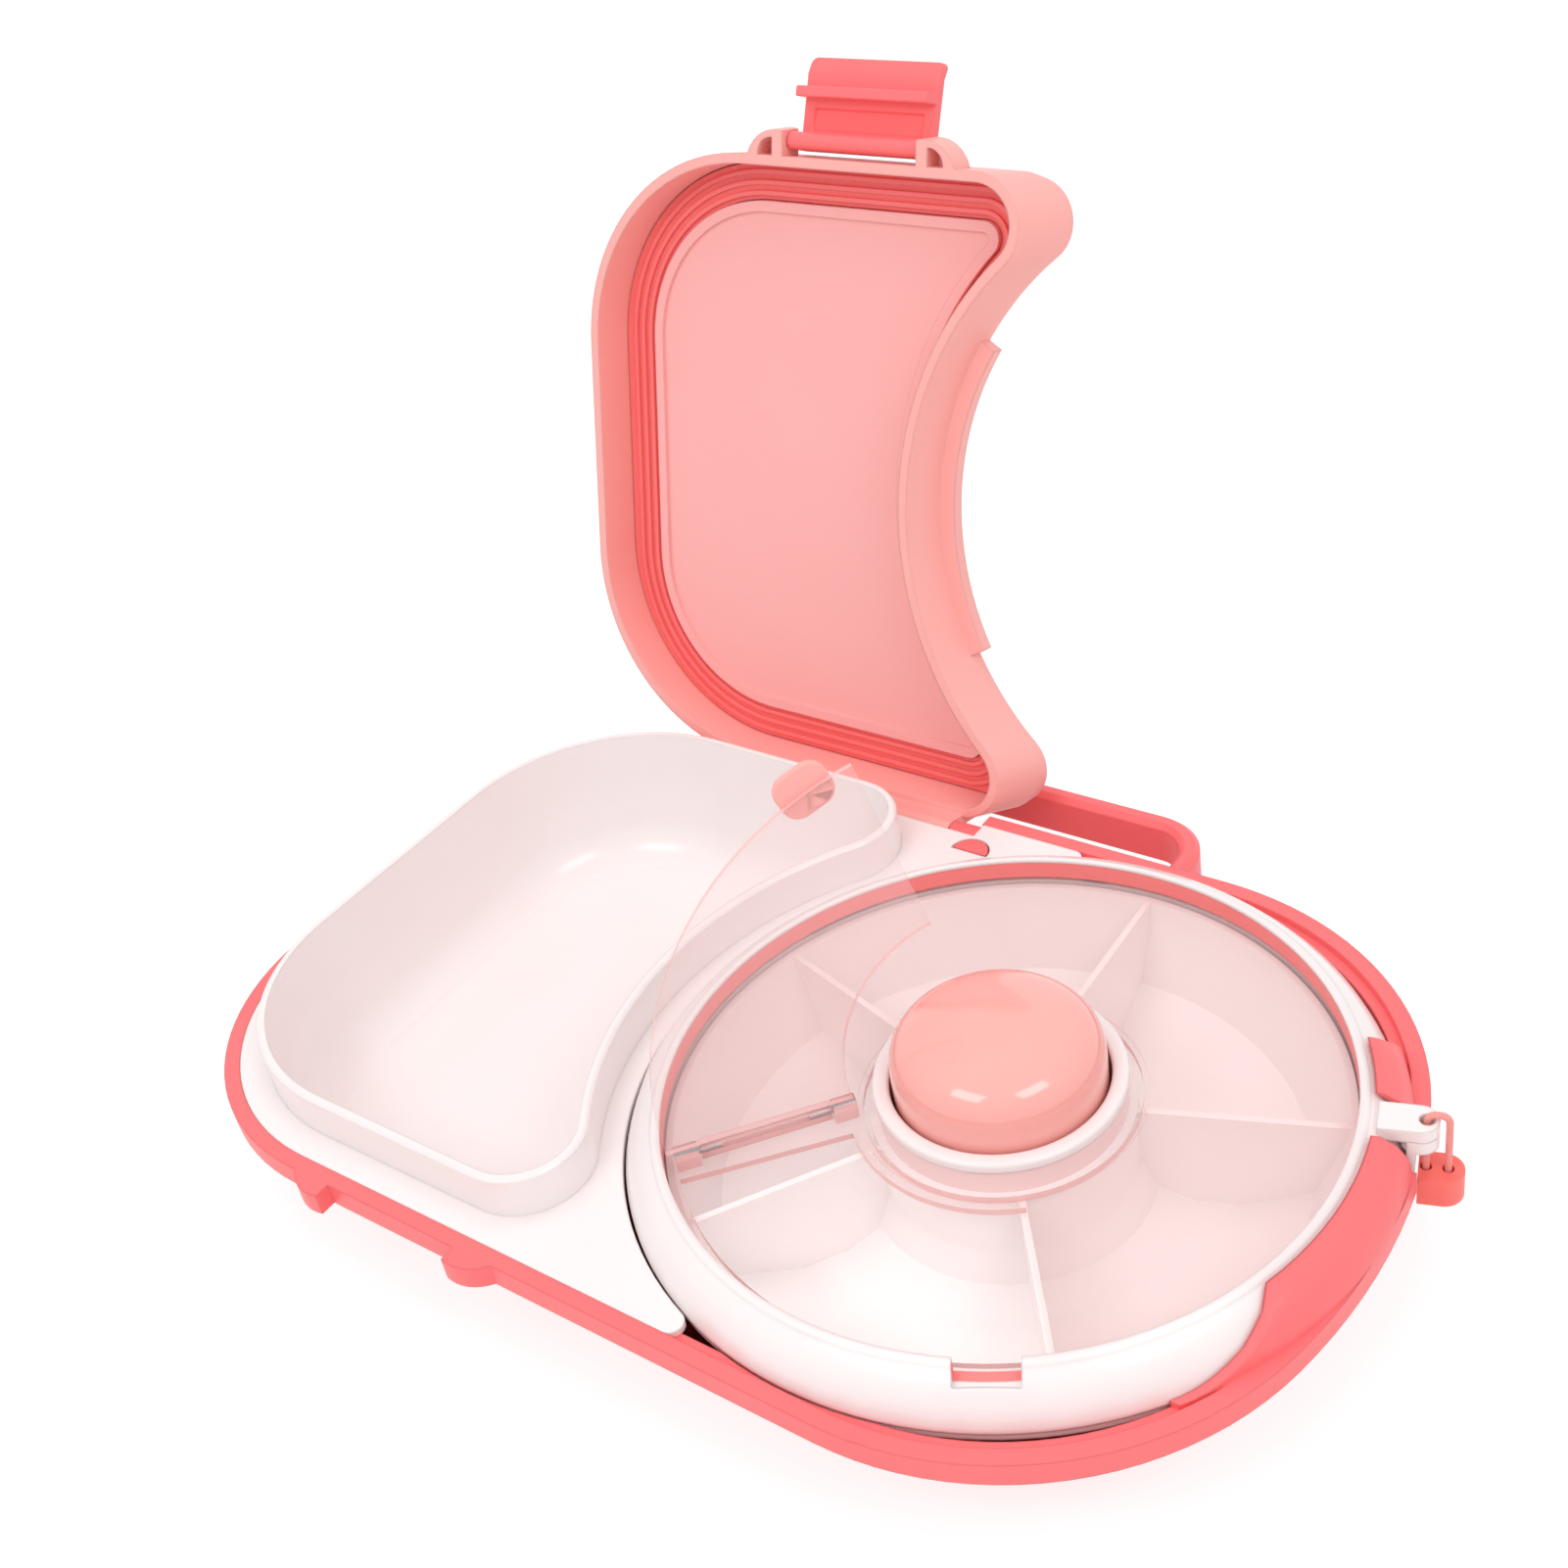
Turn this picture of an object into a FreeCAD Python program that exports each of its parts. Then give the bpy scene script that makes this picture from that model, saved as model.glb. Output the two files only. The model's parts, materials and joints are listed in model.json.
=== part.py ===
import FreeCAD, Part
import math
import os

os.makedirs("parts", exist_ok=True)

# Fits shared by the pieces
FIT = 0.4
RUN_GAP = 0.05
FAR = 150.0

# Spinner ring, bowl and lug: the ring's outer radius sets the width of the whole box
RING_OUT_R = 78.6
RING_W = 8.6
RING_IN_R = RING_OUT_R - RING_W
RING_TOP = 38.0
RING_H = 10.4
RING_BOTTOM = RING_TOP - RING_H
RING_BULGE_IN = 3.3
RING_BULGE_R = RING_OUT_R - RING_BULGE_IN
RING_BULGE_DROP = 3.1
RING_BULGE_Z = RING_TOP - RING_BULGE_DROP
RING_EDGE = 0.8
RING_LIP_T = 1.0
RING_SKIRT_H = 1.6
COVER_DROP = 5.2
COVER_TOP = RING_TOP - COVER_DROP
COVER_T = 1.4
SEAT_W = 2.2
SEAT_R = RING_IN_R + SEAT_W
SEAT_LIP_W = 1.4
SEAT_LIP_R = SEAT_R - SEAT_LIP_W
BOWL_FLANGE_R = RING_OUT_R - FIT
BOWL_FLANGE_W = 3.6
BOWL_FLANGE_T = 2.0
BOWL_TOP_R = BOWL_FLANGE_R - BOWL_FLANGE_W
BOWL_TAPER = 13.2
BOWL_FLOOR_R = BOWL_TOP_R - BOWL_TAPER
BOWL_FOOT_IN = 9.4
BOWL_FOOT_R = BOWL_FLOOR_R - BOWL_FOOT_IN
BOWL_FOOT_W = 3.0
BOWL_FOOT_H = 0.8
BOWL_WALL = 1.5
LUG_ANGLE = 17.6
LUG_W = 7.3
LUG_REACH = 6.3
LUG_R = RING_OUT_R + LUG_REACH
LUG_ROOT = 5.1
LUG_ROOT_R = RING_OUT_R - LUG_ROOT
LUG_HALF_T = 3.0
LUG_WEB_T = 1.6
LUG_HOLE_R = 1.5
LUG_HOLE_IN = 2.4
LUG_HOLE_AT = LUG_R - LUG_HOLE_IN
NOTCH_ANGLE = -61.4
NOTCH_W = 12.3
NOTCH_D = 4.5
NOTCH_R = RING_IN_R + NOTCH_D
NOTCH_LIFT = 1.1
NOTCH_FLOOR = COVER_TOP + NOTCH_LIFT

# Tray outline: straight sides, round left end, flattened nose round the spinner
TRAY_SIDE = 4.9
TRAY_HALF = RING_OUT_R + TRAY_SIDE
TRAY_LEFT = -183.8
TRAY_LEFT_R = 56.0
NOSE_RIM = 1.9
NOSE_X = RING_OUT_R + NOSE_RIM
NOSE_R = 130.0
SHOULDER_IN = 13.5
SHOULDER_R = TRAY_HALF - SHOULDER_IN
RIM_TOP = 29.4
RIM_H = 5.4
RIM_W = 3.6
SKIRT_IN = 3.8
WALL = 2.2
FLOOR = 2.2
FOOT_H = 4.0
FOOT_BEVEL_H = 0.9
FOOT_BEVEL_IN = 1.9
FOOT_IN = 15.5
FOOT_ROUND_IN = 3.4

# Cowl of the tray that rises round the ring at the nose
COWL_LAP = 2.9
COWL_IN_R = RING_IN_R + COWL_LAP
COWL_BULGE = 1.3
COWL_MID_R = RING_BULGE_R + COWL_BULGE
COWL_FOOT_R = RING_OUT_R + FIT
COWL_EDGE_T = 1.5
COWL_TOP_R = COWL_IN_R + COWL_EDGE_T
COWL_MID_T = 2.0
COWL_OUT_MID_R = COWL_MID_R + COWL_MID_T
COWL_FOOT_T = 1.6
COWL_OUT_R = COWL_FOOT_R + COWL_FOOT_T
COWL_BOTTOM = 27.0
COWL_KNEE = RING_BOTTOM + RING_SKIRT_H
COWL_FRONT_Y = [-49.0, -41.6, -35.0, -28.7, -23.5]
COWL_FRONT_DROP = [8.8, 7.6, 5.0, 2.0, -0.4]
COWL_BACK_Y = [40.5, 44.0, 47.5]
COWL_BACK_DROP = [-0.4, 2.4, 8.8]
SLOT_SIDE = 2.05
SLOT_W = LUG_W + SLOT_SIDE + SLOT_SIDE

# Bento insert, hung by its flange on the tray's rim
FLANGE_HALF = TRAY_HALF - RIM_W
FLANGE_LEFT = TRAY_LEFT + RIM_W
FLANGE_R_IN = 3.4
FLANGE_R = TRAY_LEFT_R - FLANGE_R_IN
FLANGE_GAP = 0.6
FLANGE_HOLLOW = RING_OUT_R + FLANGE_GAP
FLANGE_TIP_R = 2.7
FLANGE_T = 1.6
BENTO_RIM = 39.5
BENTO_WALL_IN = 6.8
BENTO_GAP = 5.8
BENTO_HOLLOW = RING_OUT_R + BENTO_GAP - BENTO_WALL_IN
BENTO_NOSE = 21.5
BENTO_EDGE = 0.6
BASIN_OUT_Z = [27.8, 12.0, 6.4, 3.2]
BASIN_OUT_IN = [6.8, 9.9, 13.8, 18.6]
BASIN_IN_Z = [39.5, 24.0, 14.0, 9.0, 6.2, 5.0]
BASIN_IN_IN = [8.8, 9.6, 11.8, 14.8, 18.0, 20.4]

# Lid in its closed place
LID_IN = 6.4
LID_HALF = TRAY_HALF - LID_IN
LID_LEFT = TRAY_LEFT + LID_IN
LID_LEFT_R = 49.8
LID_LIFT = 0.5
LID_RIM = RIM_TOP + LID_LIFT
LID_H = 14.5
LID_TOP = LID_RIM + LID_H
LID_WALL = 2.4
LID_ROOF = 2.2
LID_NOSE_R = 11.5
LID_GAP = 1.2
LID_HOLLOW = RING_OUT_R + LID_GAP
LID_LEAN = 0.6
LID_ROUND = 4.0
LID_ROUND_MID_SHARE = 0.3
LIP_IN = 2.4
LIP_R = RING_IN_R + LIP_IN
LIP_REACH = 2.2
LIP_DROP = 1.5
LIP_TOP = LID_TOP - LIP_DROP
LIP_T = 3.4
LIP_W = 5.6
LIP_ROOT_R = LIP_R + LIP_W
LIP_MID_ANGLE = 30.0
LID_OPEN = 104.7
PANEL_IN = 11.9
PANEL_HALF = LID_HALF - PANEL_IN
PANEL_LEFT_IN = 13.4
PANEL_LEFT = LID_LEFT + PANEL_LEFT_IN
PANEL_LEFT_R = 37.0
PANEL_HOLLOW_IN = 6.6
PANEL_HOLLOW = LID_HOLLOW + PANEL_HOLLOW_IN
PANEL_NOSE_R = 4.0
PANEL_T = 1.8
BEAD_W = 2.6
BEAD_H = 0.9
GASKET_T = 1.4
GASKET_GAP = 0.2
RIDGE_H = 0.9
RIDGE_W = 1.1
RIDGE_STEP = 2.5
RIDGES = 3

# Lid hinge at the back of the tray
HINGE_IN = 4.6
HINGE_Y = TRAY_HALF - HINGE_IN
HINGE_DROP = 4.2
HINGE_Z = RIM_TOP - HINGE_DROP
HINGE_MID = -95.7
BARREL_L = 68.5
BARREL_R = 2.8
PIN_R = 1.5
KNUCKLE_L = 8.2
KNUCKLE_R = 3.1
POCKET_D = 3.7
POCKET_FRONT = HINGE_Y - POCKET_D
POCKET_DROP = 3.3
POCKET_FLOOR = HINGE_Z - POCKET_DROP
POCKET_PLATE = 1.6
POCKET_LEFT = -143.5
POCKET_CUT = 20.0
STRAP_T = 2.6
STRAP_H = 11.8
STRAP_TOP = HINGE_Z + STRAP_H
POST_IN = 9.3
POST_Y = HINGE_Y - POST_IN
POST_GAP = 6.8
POST_X = -math.sqrt((FLANGE_HOLLOW + POST_GAP) ** 2 - POST_Y ** 2)
POST_R = 4.5
POCKET_END = 2.5
POCKET_RIGHT = POST_X - POCKET_END

# Carry handle
HANDLE_MID = -51.7
HANDLE_L = 94.6
HANDLE_REACH = 25.0
HANDLE_OUT = TRAY_HALF + HANDLE_REACH
HANDLE_T = 5.0
HANDLE_DROP = 6.2
HANDLE_TOP = RIM_TOP - HANDLE_DROP
HANDLE_H = 12.0
HANDLE_R = 14.0
HANDLE_SINK = 13.5
HANDLE_ROOT = TRAY_HALF - HANDLE_SINK
HANDLE_ROUND = 1.4

# Latch, its ears on the lid and the keepers on the tray
LATCH_MID = -97.3
EAR_IN = 18.4
EAR_W = 10.2
EAR_OUT = EAR_IN + EAR_W
EAR_L = 5.6
EAR_REACH = LID_HALF + EAR_L
EAR_H = 6.5
EAR_WALL = 1.5
EAR_BOW_SHARE = 0.72
KEEPER_L = 3.5
KEEPER_REACH = TRAY_HALF + KEEPER_L
PIVOT_OUT = 3.3
PIVOT_Y = -LID_HALF - PIVOT_OUT
PIVOT_UP = 3.3
PIVOT_Z = LID_RIM + PIVOT_UP
LATCH_PIN_R = 0.9
LATCH_PIN_END = 1.0
LATCH_BARREL_R = 2.0
LATCH_SIDE = 0.4
LATCH_W = EAR_IN + EAR_IN - LATCH_SIDE - LATCH_SIDE
LATCH_T = 2.5
LATCH_IN = 3.8
LATCH_L = 19.0
LATCH_LEDGE = 9.8
LATCH_LEDGE_T = 2.4
LATCH_HOOK = 4.2
LATCH_LIP = 1.4
LATCH_LIP_L = 3.6
LATCH_TIP_R = 1.6
LATCH_SWING = 100.3
RECESS_SIDE = 3.0
RECESS_W = LATCH_W - RECESS_SIDE - RECESS_SIDE
RECESS_L = 4.8
RECESS_AT = 2.8
RECESS_D = 0.7

# Button and collar at the middle of the spinner
BUTTON_R = 21.9
BUTTON_TOP = 54.0
BUTTON_CROWN = 8.8
BUTTON_SHOULDER = BUTTON_TOP - BUTTON_CROWN
BUTTON_WALL = 2.0
BUTTON_TRAVEL = 5.0
COLLAR_GAP = 0.6
COLLAR_IN_R = BUTTON_R + COLLAR_GAP
COLLAR_W = 3.5
COLLAR_OUT_R = COLLAR_IN_R + COLLAR_W
COLLAR_ROUND = 1.2

# Cover opening and flap, hinge line turned and set off from the spinner axis
HOLE_GAP = 2.5
HOLE_R = COLLAR_OUT_R + HOLE_GAP
OPEN_SILL = 3.0
OPEN_IN_R = HOLE_R + OPEN_SILL
OPEN_RIM = 4.7
OPEN_OUT_R = SEAT_R - OPEN_RIM
OPEN_FROM = -132.5
OPEN_TO = -51.3
FLAP_TURN = 50.4
FLAP_OFF = 7.4
FLAP_AXIS_UP = 2.5
FLAP_AXIS_Z = COVER_TOP + FLAP_AXIS_UP
FLAP_BARREL_R = 2.0
FLAP_PIN_R = 0.8
FLAP_END_IN = 2.8
FLAP_S_OUT = FLAP_END_IN - RING_IN_R
FLAP_END_OUT = 0.3
FLAP_S_IN = -HOLE_R - FLAP_END_OUT
SOCKET_L = 5.0
FLAP_T = 1.3
FLAP_LIFT = 0.4
FLAP_SILL = 1.3
FLAP_IN_R = HOLE_R + FLAP_SILL
FLAP_RIM = 1.0
FLAP_OUT_R = RING_IN_R - FLAP_RIM
FLAP_FREE = -53.0
FLAP_BEAD = 1.2
FLAP_OPEN = 99.0
TAB_SIDE = 0.45
TAB_W = NOTCH_W - TAB_SIDE - TAB_SIDE
TAB_LAP = 6.0
TAB_IN_R = RING_IN_R - TAB_LAP
TAB_REACH = 4.0
TAB_OUT_R = RING_IN_R + TAB_REACH
TAB_T = 1.6

# Rotor with five compartments
ROTOR_TOP = COVER_TOP - COVER_T - FIT
ROTOR_STEP = 1.0
ROTOR_WALL = 1.5
ROTOR_HUB_W = 1.3
ROTOR_IN_R = COLLAR_OUT_R + ROTOR_HUB_W
ROTOR_GAP = 6.2
ROTOR_RIM_R = BOWL_TOP_R - ROTOR_GAP
ROTOR_RIM_W = 1.4
ROTOR_BAND = ROTOR_RIM_R - ROTOR_RIM_W - ROTOR_IN_R
ROTOR_IN_SHARE = 0.277
ROTOR_IN_SWEEP_W = ROTOR_IN_SHARE * ROTOR_BAND
ROTOR_IN_SWEEP_H = 11.0
ROTOR_OUT_SHARE = 0.479
ROTOR_OUT_SWEEP_W = ROTOR_OUT_SHARE * ROTOR_BAND
ROTOR_OUT_SWEEP_H = 19.0
ROTOR_FLOOR_IN_R = ROTOR_IN_R + ROTOR_IN_SWEEP_W
ROTOR_FLOOR_OUT_R = ROTOR_RIM_R - ROTOR_RIM_W - ROTOR_OUT_SWEEP_W
WELL_GAP = 0.8
WELL_R = BUTTON_R + WELL_GAP
WELL_D = 6.6
WELL_FLOOR = ROTOR_TOP - WELL_D
COLLAR_H = 8.0
COLLAR_TOP = ROTOR_TOP + COLLAR_H
BUTTON_LIFT = 1.0
BUTTON_BOTTOM = ROTOR_TOP + BUTTON_LIFT
STEM_R = 4.05
POST_IN_R = STEM_R + RUN_GAP
POST_WALL = 2.9
POST_OUT_R = POST_IN_R + POST_WALL
SLEEVE_WALL = 2.3
SLEEVE_R = POST_OUT_R + SLEEVE_WALL
SLEEVE_H = 1.6
SLEEVE_TOP = WELL_FLOOR + SLEEVE_H
POST_PROUD = 1.0
POST_TOP = SLEEVE_TOP + POST_PROUD
WASHER_W = 7.0
WASHER_R = POST_OUT_R + WASHER_W
WASHER_GAP = 0.1
DIVIDERS = 5
DIVIDER_FIRST = 20.0
DIVIDER_T = 1.4
DIVIDER_SINK = 0.4
GROOVE_R = 1.5
GROOVE_SINK = 0.7
SWEEP_STEPS = 2
ROUND_STEPS = 1
SLOPE_STEPS = 3

# Plunger, ramps, return spring and detent under the button
DOME_STEPS = 3
STEM_BOTTOM = 14.0
PAD_T = 1.4
CAP_R = 10.0
CAP_T = 1.6
CAM_GAP = 1.5
CAM_IN_R = CAP_R + CAM_GAP
CAM_W = 4.5
CAM_OUT_R = CAM_IN_R + CAM_W
RATCHET_BASE = 1.2
TOOTH_H = 1.4
TEETH = 12
TOOTH_GAP = 0.5
SPRING_R = 8.2
WIRE_R = 0.55
COILS = 5
COIL_STEPS = 12
WIRE_SIDES = 6
DETENT_GAP = 1.8
DETENT_R = ROTOR_IN_R - ROTOR_WALL - DETENT_GAP
DETENT_T = 0.6
DETENT_W = 7.0
DETENT_FOOT = 7.0
DETENT_H = 11.0
DETENT_NOSE_R = 1.2

# Lanyard pull on the lug
PULL_EDGE = 1.4
PULL_IN_R = LUG_HOLE_AT - PULL_EDGE
CORD_STEP = 4.1
CORD_OUT_AT = LUG_HOLE_AT + CORD_STEP
PULL_TIP = 3.1
PULL_OUT_R = CORD_OUT_AT + PULL_TIP
PULL_W = 8.0
PULL_DROP = 12.4
PULL_TOP = RING_TOP - PULL_DROP
PULL_H = 6.6
CORD_R = 0.7
CORD_SIDES = 8
CORD_RISE = 1.4
CORD_TOP = RING_TOP + CORD_RISE
CORD_BEND_SHARE = 0.45
CORD_HOLE_GAP = 0.4

ORIGIN = FreeCAD.Vector(0, 0, 0)
UP = FreeCAD.Vector(0, 0, 1)
EAST = FreeCAD.Vector(1, 0, 0)
SKIRT = RIM_TOP - RIM_H
LEDGE_TOP = RIM_TOP - FLANGE_T
BOWL_BOTTOM = FLOOR + BOWL_FOOT_H
BOWL_FLOOR = BOWL_BOTTOM + BOWL_WALL
ROTOR_FLOOR = BOWL_FLOOR + ROTOR_WALL + ROTOR_STEP
WASHER_T = ROTOR_STEP - WASHER_GAP


# Small helpers
def vec(x, y, z):
    return FreeCAD.Vector(x, y, z)


def on_circle(cx, cy, radius, angle, z):
    turn = math.radians(angle)
    return vec(cx + radius * math.cos(turn), cy + radius * math.sin(turn), z)


def arc(cx, cy, radius, start, end, z):
    middle = (start + end) / 2
    points = [on_circle(cx, cy, radius, a, z) for a in (start, middle, end)]
    return Part.Arc(*points).toShape()


def join(edges):
    return Part.Wire(Part.__sortEdges__(edges))


def chain(arcs):
    edges = []
    for i, piece in enumerate(arcs):
        tail = arcs[i - 1].Vertexes[-1].Point
        head = piece.Vertexes[0].Point
        if tail.distanceToPoint(head) > RUN_GAP / 1000:
            edges.append(Part.makeLine(tail, head))
        edges.append(piece)
    return join(edges)


def prism(wire, height):
    return Part.Face(wire).extrude(vec(0, 0, height))


def box(x0, x1, y0, y1, z0, z1):
    return Part.makeBox(x1 - x0, y1 - y0, z1 - z0, vec(x0, y0, z0))


def rod(x0, x1, y, z, radius):
    return Part.makeCylinder(radius, x1 - x0, vec(x0, y, z), EAST)


def disc(r0, r1, z0, z1):
    body = Part.makeCylinder(r1, z1 - z0, vec(0, 0, z0))
    if r0 > 0:
        body = body.cut(Part.makeCylinder(r0, z1 - z0, vec(0, 0, z0)))
    return body


def radial_box(angle, r0, r1, width, z0, z1):
    body = box(r0, r1, -width / 2, width / 2, z0, z1)
    body.rotate(ORIGIN, UP, angle)
    return body


def revolve(wire):
    return Part.Face(wire).revolve(ORIGIN, UP, 360)


def sweep(cr, cz, across, along, start, end, steps):
    points = []
    for i in range(steps + 1):
        turn = math.radians(start + (end - start) * i / steps)
        points.append((cr + across * math.cos(turn), cz + along * math.sin(turn)))
    return points


def bow(start, middle, end, steps):
    edge = Part.Arc(*[vec(r, 0, z) for r, z in (start, middle, end)]).toShape()
    return [(p.x, p.z) for p in edge.discretize(steps + 1)]


def profile(points):
    return Part.makePolygon([vec(r, 0, z) for r, z in points + points[:1]])


def sector(r0, r1, start, end, z0, z1):
    outer = arc(0, 0, r1, start, end, z0)
    inner = arc(0, 0, r0, end, start, z0)
    return prism(chain([outer, inner]), z1 - z0)


def save(name, shape):
    shape.exportStep("parts/" + name + ".step")


# Outlines
def tray_wire(grow, z):
    half = TRAY_HALF
    lean = math.degrees(math.asin((half - SHOULDER_R) / (NOSE_R - SHOULDER_R)))
    nose_c = NOSE_X - NOSE_R
    side_c = nose_c + (NOSE_R - SHOULDER_R) * math.cos(math.radians(lean))
    left_c = TRAY_LEFT + TRAY_LEFT_R
    shoulder = SHOULDER_R + grow
    corner = TRAY_LEFT_R + grow
    return chain([
        arc(side_c, SHOULDER_R - half, shoulder, -90, -lean, z),
        arc(nose_c, 0, NOSE_R + grow, -lean, lean, z),
        arc(side_c, half - SHOULDER_R, shoulder, lean, 90, z),
        arc(left_c, half - TRAY_LEFT_R, corner, 90, 180, z),
        arc(left_c, TRAY_LEFT_R - half, corner, 180, 270, z),
    ])


def crescent(half, left, corner, hollow, nose, z):
    cy = half - nose
    cx = -math.sqrt((hollow + nose) ** 2 - cy ** 2)
    lean = math.degrees(math.atan2(cy, -cx))
    left_c = left + corner
    return chain([
        arc(cx, -cy, nose, -90, lean, z),
        arc(0, 0, hollow, 180 + lean, 180 - lean, z),
        arc(cx, cy, nose, -lean, 90, z),
        arc(left_c, half - corner, corner, 90, 180, z),
        arc(left_c, corner - half, corner, 180, 270, z),
    ])


def flange_wire(z):
    return crescent(FLANGE_HALF, FLANGE_LEFT, FLANGE_R, FLANGE_HOLLOW, FLANGE_TIP_R, z)


def bento_wire(inset, z):
    corner = FLANGE_R - inset
    hollow = BENTO_HOLLOW + inset
    return crescent(FLANGE_HALF - inset, FLANGE_LEFT + inset, corner, hollow, BENTO_NOSE - inset, z)


def lid_hollow(z):
    share = (z - LID_RIM) / (LIP_TOP - LID_RIM)
    return LID_HOLLOW - share * (LID_HOLLOW - LIP_R - LIP_REACH)


def lid_wire(inset, z):
    corner = LID_LEFT_R - inset
    hollow = lid_hollow(z) + inset
    return crescent(LID_HALF - inset, LID_LEFT + inset, corner, hollow, LID_NOSE_R - inset, z)


def panel_wire(grow, z):
    corner = PANEL_LEFT_R + grow
    hollow = PANEL_HOLLOW - grow
    return crescent(PANEL_HALF + grow, PANEL_LEFT - grow, corner, hollow, PANEL_NOSE_R + grow, z)


# Tray
def tray_shell():
    levels = [0, FOOT_BEVEL_H, FOOT_H, SKIRT]
    insets = [-FOOT_IN - FOOT_ROUND_IN, -FOOT_IN - FOOT_BEVEL_IN, -FOOT_IN, -SKIRT_IN]
    outer = Part.makeLoft([tray_wire(g, z) for g, z in zip(insets, levels)], True, True)
    rim = prism(tray_wire(0, SKIRT), RIM_H)
    return outer.fuse(rim)


def tray_cavity():
    levels = [FLOOR, FOOT_H, SKIRT]
    insets = [-FOOT_IN - FOOT_ROUND_IN - WALL, -FOOT_IN - WALL, -SKIRT_IN - WALL]
    deep = Part.makeLoft([tray_wire(g, z) for g, z in zip(insets, levels)], True, True)
    neck = prism(tray_wire(-SKIRT_IN - WALL, SKIRT), RIM_H)
    seat = prism(tray_wire(-RIM_W, LEDGE_TOP), FLANGE_T)
    return deep.fuse([neck, seat])


def spinner_room():
    shelf = RING_BOTTOM - BOWL_FLANGE_T - FIT
    points = [(0, FLOOR), (BOWL_FLOOR_R + FIT, FLOOR), (BOWL_TOP_R + FIT, shelf)]
    points += [(RING_OUT_R + FIT, shelf), (RING_OUT_R + FIT, RING_TOP), (0, RING_TOP)]
    return revolve(profile(points))


def curve_yz(ys, drops):
    spline = Part.BSplineCurve()
    spline.interpolate([vec(0, y, RING_TOP - d) for y, d in zip(ys, drops)])
    return spline.toShape()


def cowl():
    middle = (COWL_MID_R, RING_BULGE_Z)
    inner = bow((COWL_IN_R, RING_TOP), middle, (COWL_FOOT_R, COWL_KNEE), SLOPE_STEPS)
    middle = (COWL_OUT_MID_R, RING_BULGE_Z)
    outer = bow((COWL_OUT_R, COWL_KNEE), middle, (COWL_TOP_R, RING_TOP), SLOPE_STEPS)
    ring = revolve(profile(inner + [(COWL_FOOT_R, COWL_BOTTOM), (COWL_OUT_R, COWL_BOTTOM)] + outer))
    front = curve_yz(COWL_FRONT_Y, COWL_FRONT_DROP)
    back = curve_yz(COWL_BACK_Y, COWL_BACK_DROP)
    first = front.Vertexes[0].Point
    last = back.Vertexes[-1].Point
    low = [first, vec(0, first.y, COWL_BOTTOM), vec(0, last.y, COWL_BOTTOM), last]
    crest = Part.makeLine(front.Vertexes[-1].Point, back.Vertexes[0].Point)
    window = Part.Face(join([front, back, crest] + Part.makePolygon(low).Edges)).extrude(vec(FAR, 0, 0))
    return ring.common(window)


def handle():
    x0 = HANDLE_MID - HANDLE_L / 2
    x1 = HANDLE_MID + HANDLE_L / 2
    bottom = HANDLE_TOP - HANDLE_H
    inner_r = HANDLE_R - HANDLE_T
    in_y = HANDLE_OUT - HANDLE_T
    outer = [
        arc(x1 - HANDLE_R, HANDLE_OUT - HANDLE_R, HANDLE_R, 0, 90, bottom),
        arc(x0 + HANDLE_R, HANDLE_OUT - HANDLE_R, HANDLE_R, 90, 180, bottom),
    ]
    inner = [
        arc(x0 + HANDLE_R, in_y - inner_r, inner_r, 180, 90, bottom),
        arc(x1 - HANDLE_R, in_y - inner_r, inner_r, 90, 0, bottom),
    ]
    feet = [(x0, x0 + HANDLE_T), (x1 - HANDLE_T, x1)]
    left = [Part.makeLine(vec(feet[0][0], HANDLE_ROOT, bottom), vec(feet[0][1], HANDLE_ROOT, bottom))]
    right = [Part.makeLine(vec(feet[1][0], HANDLE_ROOT, bottom), vec(feet[1][1], HANDLE_ROOT, bottom))]
    band = prism(chain(outer + left + inner + right), HANDLE_H)
    level = [e for e in band.Edges if e.BoundBox.ZLength < RUN_GAP]
    tops = [e for e in level if e.BoundBox.YMax > HANDLE_ROOT + RUN_GAP]
    return band.makeChamfer(HANDLE_ROUND, tops)


def keeper(side):
    x_in = LATCH_MID + side * EAR_IN
    x_out = LATCH_MID + side * EAR_OUT
    root = -TRAY_HALF + RIM_W / 2
    tip = vec(x_in, -KEEPER_REACH, SKIRT)
    heel = vec(x_out, -TRAY_HALF, SKIRT)
    knee_x = x_in + EAR_BOW_SHARE * (x_out - x_in)
    knee_y = -TRAY_HALF - EAR_BOW_SHARE * (KEEPER_REACH - TRAY_HALF)
    edge = Part.Arc(tip, vec(knee_x, knee_y, SKIRT), heel).toShape()
    rest = [heel, vec(x_out, root, SKIRT), vec(x_in, root, SKIRT), tip]
    return prism(join([edge] + Part.makePolygon(rest).Edges), RIM_H)


def hinge_block():
    front = POCKET_FRONT - POCKET_PLATE
    bottom = POCKET_FLOOR - POCKET_PLATE
    right = POST_X + POST_R
    return box(POCKET_LEFT - POCKET_PLATE, right, front, HINGE_Y - BARREL_R / 2, bottom, LEDGE_TOP)


def hinge_pocket():
    return box(POCKET_LEFT, POCKET_RIGHT, POCKET_FRONT, POCKET_FRONT + POCKET_CUT, POCKET_FLOOR, LID_TOP)


def half_post(grow, top):
    foot = POCKET_FLOOR - POCKET_PLATE
    post = Part.makeCylinder(POST_R + grow, top - foot, vec(POST_X, POST_Y, foot))
    reach = POST_R + grow
    front = box(POST_X - reach, POST_X + reach, POST_Y - reach, POST_Y - grow, 0, LID_TOP)
    return post.cut(front)


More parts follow.
